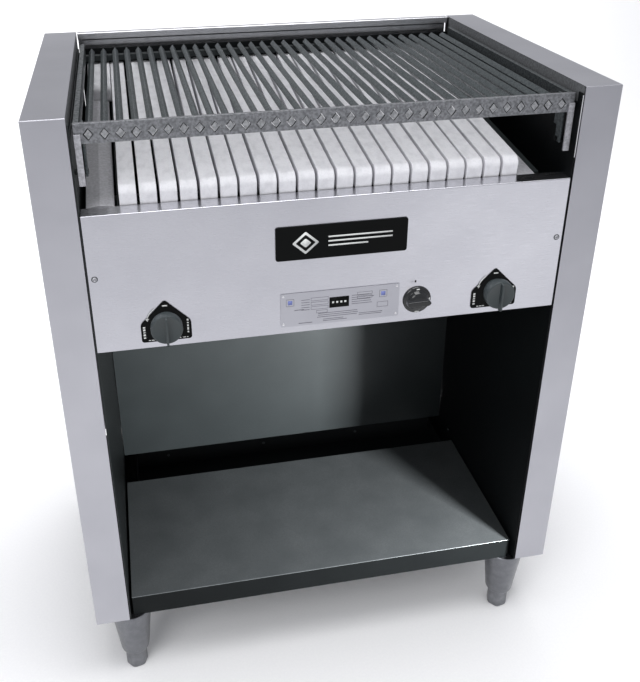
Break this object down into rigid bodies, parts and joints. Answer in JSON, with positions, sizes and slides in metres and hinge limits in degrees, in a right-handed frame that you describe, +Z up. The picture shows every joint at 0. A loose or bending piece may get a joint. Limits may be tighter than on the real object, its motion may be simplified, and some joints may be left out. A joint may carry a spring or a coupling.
{
  "type": "charbroiler grill",
  "caption": "Floor-standing gas charbroiler: cooking grate on square rods over a sloped ceramic bed, control panel with gas knobs, open storage base on adjustable legs.",
  "frame": {"origin": "on the floor, under the middle of the whole object's box", "axes": "+X to the viewer's right when facing the control panel, +Y from the panel to the back, +Z up"},
  "size_m": [0.794, 0.573, 1.005],
  "materials": {
    "stainless": "fine horizontal brushed stainless sheet",
    "dark_steel": "near-black satin steel sheet",
    "mill_steel": "mottled mill-finish steel bar",
    "rod_steel": "dark oiled steel rod",
    "ceramic": "matt white pressed ceramic",
    "cast_iron": "rough black cast iron",
    "black_pipe": "black gas pipe",
    "brass": "machined brass",
    "knob_black": "satin black phenolic",
    "plate_black": "printed black plate",
    "plate_silver": "printed foil plate",
    "leg_metal": "satin die-cast metal"
  },
  "bodies": {
    "cabinet": {"left_side_panel": "stainless", "right_side_panel": "stainless", "outer_back_panel": "stainless", "control_panel": "stainless", "pilot_baffle": "stainless", "left_inner_liner": "dark_steel", "right_inner_liner": "dark_steel", "firebox_back_liner": "dark_steel", "cabinet_back_panel": "dark_steel", "base_frame": "dark_steel", "bottom_shelf": "dark_steel", "firebox": "dark_steel", "radiant_bar_01": "ceramic", "radiant_bar_02": "ceramic", "radiant_bar_03": "ceramic", "radiant_bar_04": "ceramic", "radiant_bar_05": "ceramic", "radiant_bar_06": "ceramic", "radiant_bar_07": "ceramic", "radiant_bar_08": "ceramic", "radiant_bar_09": "ceramic", "radiant_bar_10": "ceramic", "radiant_bar_11": "ceramic", "radiant_bar_12": "ceramic", "radiant_bar_13": "ceramic", "radiant_bar_14": "ceramic", "radiant_bar_15": "ceramic", "radiant_bar_16": "ceramic", "radiant_bar_17": "ceramic", "radiant_bar_18": "ceramic", "radiant_bar_19": "ceramic", "radiant_bar_20": "ceramic", "radiant_bar_21": "ceramic", "radiant_bar_short": "ceramic", "left_burner": "cast_iron", "right_burner": "cast_iron", "gas_manifold": "black_pipe", "left_burner_valve": "brass", "right_burner_valve": "brass", "pilot_safety_valve": "brass", "pilot_burner": "brass", "name_plate": "plate_black", "left_knob_bezel": "plate_black", "right_knob_bezel": "plate_black", "rating_plate": "plate_silver", "front_left_leg": "leg_metal", "front_right_leg": "leg_metal", "rear_left_leg": "leg_metal", "rear_right_leg": "leg_metal"},
    "grate": {"grate_front_bar": "mill_steel", "grate_rod_frame": "rod_steel"},
    "left_knob_body": {"left_knob": "knob_black"},
    "right_knob_body": {"right_knob": "knob_black"},
    "pilot_stem_body": {"pilot_stem": "brass"},
    "pilot_knob_body": {"pilot_knob": "knob_black"},
    "drip_pan_body": {"drip_pan": "dark_steel"},
    "front_left_foot_body": {"front_left_foot": "leg_metal"},
    "front_right_foot_body": {"front_right_foot": "leg_metal"},
    "rear_left_foot_body": {"rear_left_foot": "leg_metal"},
    "rear_right_foot_body": {"rear_right_foot": "leg_metal"}
  },
  "joints": [
    {"name": "grate_tilt", "type": "hinge", "parent": "cabinet", "child": "grate", "pos_m": [0, 0.2455, 0.972], "axis": [-1, 0, 0], "range_deg": [0, 45]},
    {"name": "left_knob_turn", "type": "hinge", "parent": "cabinet", "child": "left_knob_body", "pos_m": [-0.242, -0.2645, 0.709], "axis": [0, -1, 0], "range_deg": [0, 180]},
    {"name": "right_knob_turn", "type": "hinge", "parent": "cabinet", "child": "right_knob_body", "pos_m": [0.242, -0.2645, 0.709], "axis": [0, -1, 0], "range_deg": [0, 180]},
    {"name": "pilot_push", "type": "slide", "parent": "cabinet", "child": "pilot_stem_body", "axis": [0, 1, 0], "range_m": [0, 0.005], "stiffness_N_per_m": 400, "springref_m": -0.01},
    {"name": "pilot_turn", "type": "hinge", "parent": "pilot_stem_body", "child": "pilot_knob_body", "pos_m": [0.119, -0.2645, 0.709], "axis": [0, -1, 0], "range_deg": [0, 180]},
    {"name": "pan_slide", "type": "slide", "parent": "cabinet", "child": "drip_pan_body", "axis": [0, -1, 0], "range_m": [0, 0.4]},
    {"name": "front_left_foot_screw", "type": "slide", "parent": "cabinet", "child": "front_left_foot_body", "axis": [0, 0, -1], "range_m": [0, 0.025]},
    {"name": "front_right_foot_screw", "type": "slide", "parent": "cabinet", "child": "front_right_foot_body", "axis": [0, 0, -1], "range_m": [0, 0.025]},
    {"name": "rear_left_foot_screw", "type": "slide", "parent": "cabinet", "child": "rear_left_foot_body", "axis": [0, 0, -1], "range_m": [0, 0.025]},
    {"name": "rear_right_foot_screw", "type": "slide", "parent": "cabinet", "child": "rear_right_foot_body", "axis": [0, 0, -1], "range_m": [0, 0.025]}
  ]
}
